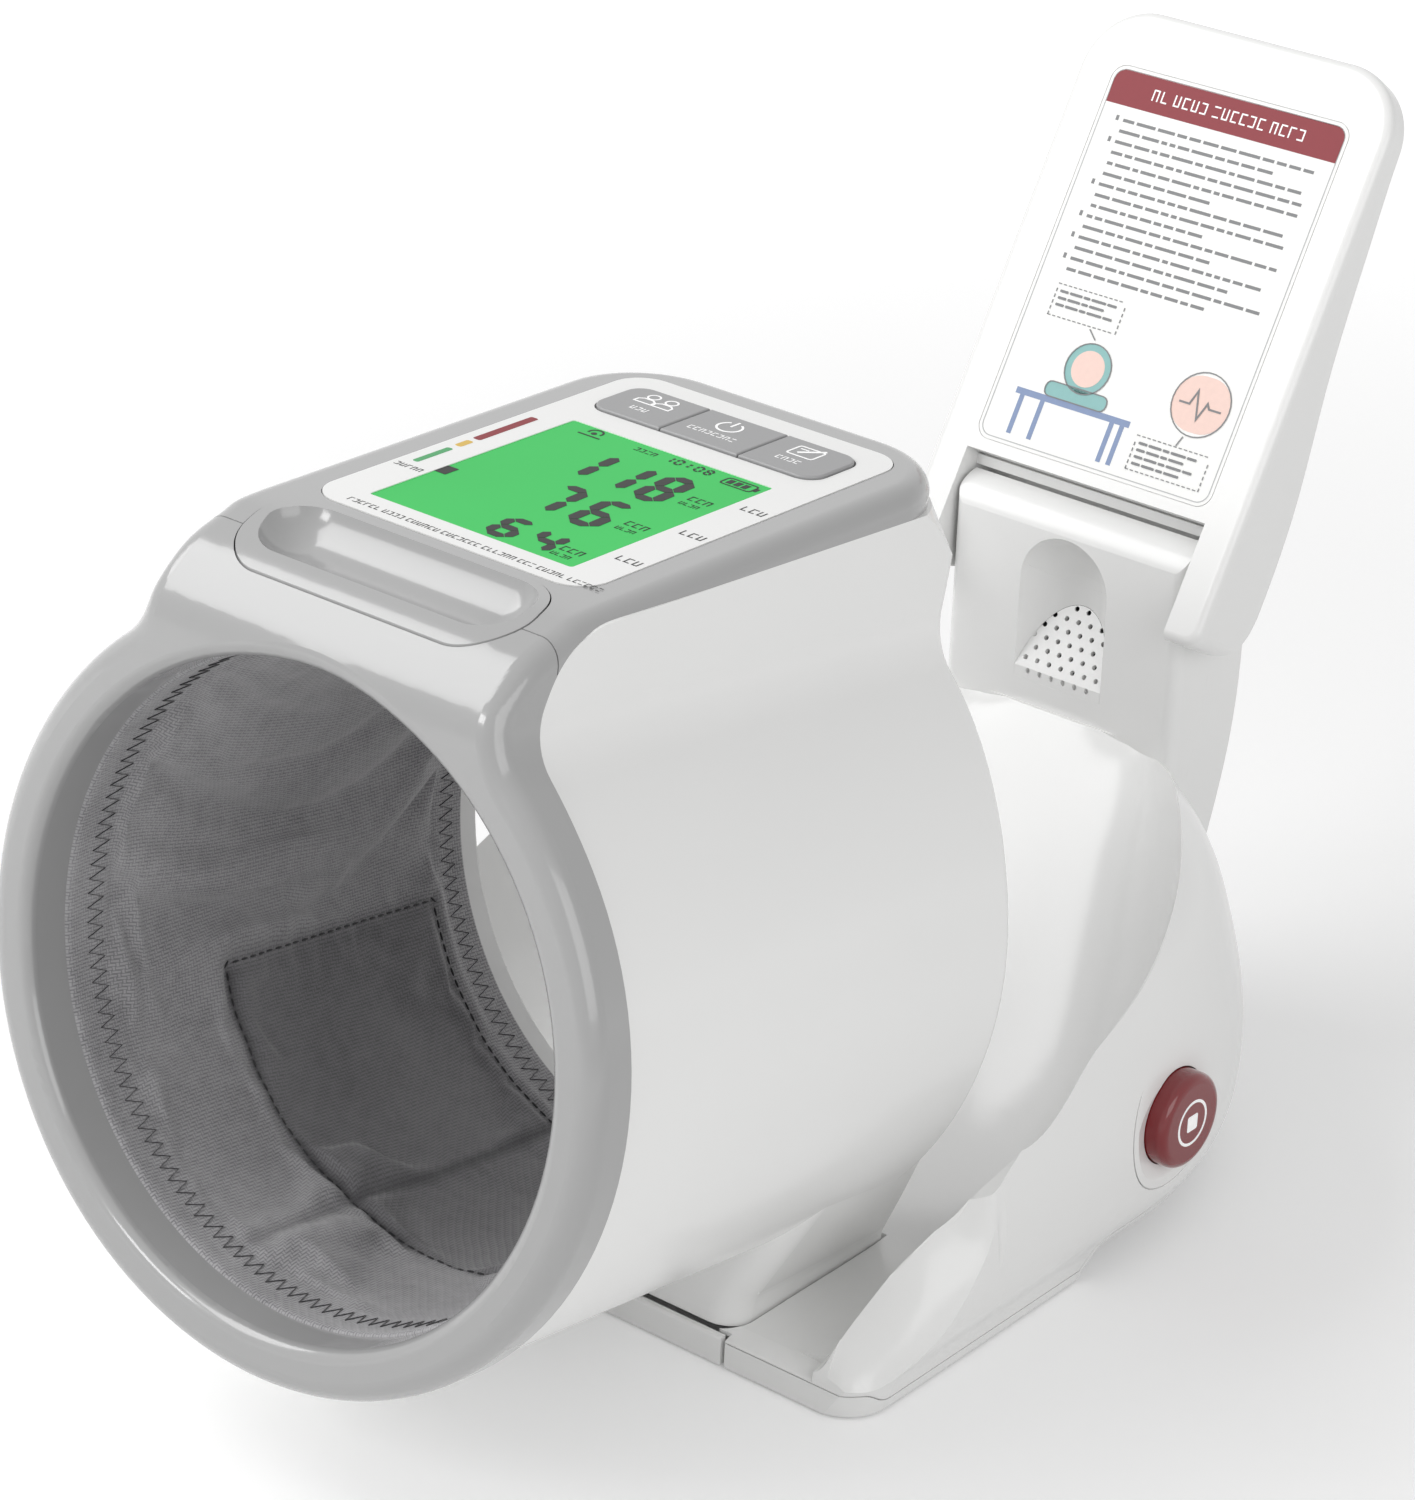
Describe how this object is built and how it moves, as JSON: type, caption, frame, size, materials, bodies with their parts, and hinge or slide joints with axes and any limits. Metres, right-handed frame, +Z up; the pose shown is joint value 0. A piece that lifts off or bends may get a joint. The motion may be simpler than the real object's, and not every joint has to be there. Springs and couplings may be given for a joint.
{
  "type": "arm-in blood pressure monitor",
  "caption": "Desk-top blood pressure monitor with a tilting round arm tunnel, display head with keys, rounded base with elbow bowl, stop button and a fold-over lid.",
  "frame": {"origin": "on the table under the middle of the flat front foot of the base", "axes": "+X towards the object's right side (the stop button), +Y away from the user towards the lid, +Z up"},
  "size_m": [0.1875, 0.3573, 0.2417],
  "materials": {
    "white_gloss": "glossy",
    "white_panel": "satin",
    "grey_gloss": "glossy",
    "key_grey": "satin",
    "red_gloss": "glossy",
    "display": "glossy",
    "dark_plastic": "matt",
    "board": "satin",
    "steel": "satin",
    "battery_can": "satin",
    "black_rubber": "matt",
    "clear_tube": "satin",
    "cuff_fabric": "woven",
    "bladder": "matt",
    "card": "satin"
  },
  "bodies": {
    "base": {"base_upper_shell": "white_gloss", "base_lower_shell": "white_gloss", "service_cover": "white_gloss", "rubber_feet": "black_rubber", "base_screws": "steel", "tilt_pins": "steel", "battery_box": "dark_plastic", "batteries": "battery_can", "battery_contacts": "steel", "pump": "steel", "air_valve": "dark_plastic", "air_hose": "clear_tube", "power_board": "board", "power_inlet": "dark_plastic", "stop_switch": "dark_plastic", "stop_collar": "white_gloss", "speaker_grille": "white_gloss", "speaker": "dark_plastic", "column_rear_cover": "white_gloss"},
    "tunnel": {"front_ring": "grey_gloss", "grip_inset": "grey_gloss", "barrel_shell": "white_gloss", "rear_rim": "white_gloss", "cuff_drum": "dark_plastic", "cuff_bladder": "bladder", "cuff_liner": "cuff_fabric", "display_bezel": "grey_gloss", "panel_plate": "white_panel", "lcd_window": "display", "lcd_module": "dark_plastic", "main_board": "board", "key_mat": "clear_tube", "board_screws": "steel"},
    "lid": {"lid_front_frame": "white_gloss", "lid_rear_shell": "white_gloss", "instruction_card": "card", "hinge_pins": "steel", "lid_screws": "steel"},
    "set_key": {"set_button": "key_grey"},
    "start_key": {"start_button": "key_grey"},
    "memory_key": {"memory_button": "key_grey"},
    "stop_key": {"stop_button": "red_gloss"},
    "battery_hatch": {"battery_door": "white_gloss"}
  },
  "joints": [
    {"name": "tunnel_tilt", "type": "hinge", "parent": "base", "child": "tunnel", "pos_m": [0, -0.01, 0.0145], "axis": [1, 0, 0], "range_deg": [0, 8]},
    {"name": "lid_fold", "type": "hinge", "parent": "base", "child": "lid", "pos_m": [0, 0.144, 0.128], "axis": [1, 0, 0], "range_deg": [0, 121]},
    {"name": "set_press", "type": "slide", "parent": "tunnel", "child": "set_key", "axis": [0, -0.0349, -0.9994], "range_m": [0, 0.0008], "stiffness_N_per_m": 600},
    {"name": "start_press", "type": "slide", "parent": "tunnel", "child": "start_key", "axis": [0, -0.0349, -0.9994], "range_m": [0, 0.0008], "stiffness_N_per_m": 600},
    {"name": "memory_press", "type": "slide", "parent": "tunnel", "child": "memory_key", "axis": [0, -0.0349, -0.9994], "range_m": [0, 0.0008], "stiffness_N_per_m": 600},
    {"name": "stop_press", "type": "slide", "parent": "base", "child": "stop_key", "axis": [-1, 0, 0], "range_m": [0, 0.002], "stiffness_N_per_m": 800},
    {"name": "battery_hatch_slide", "type": "slide", "parent": "base", "child": "battery_hatch", "axis": [0, 1, 0], "range_m": [0, 0.012]}
  ]
}
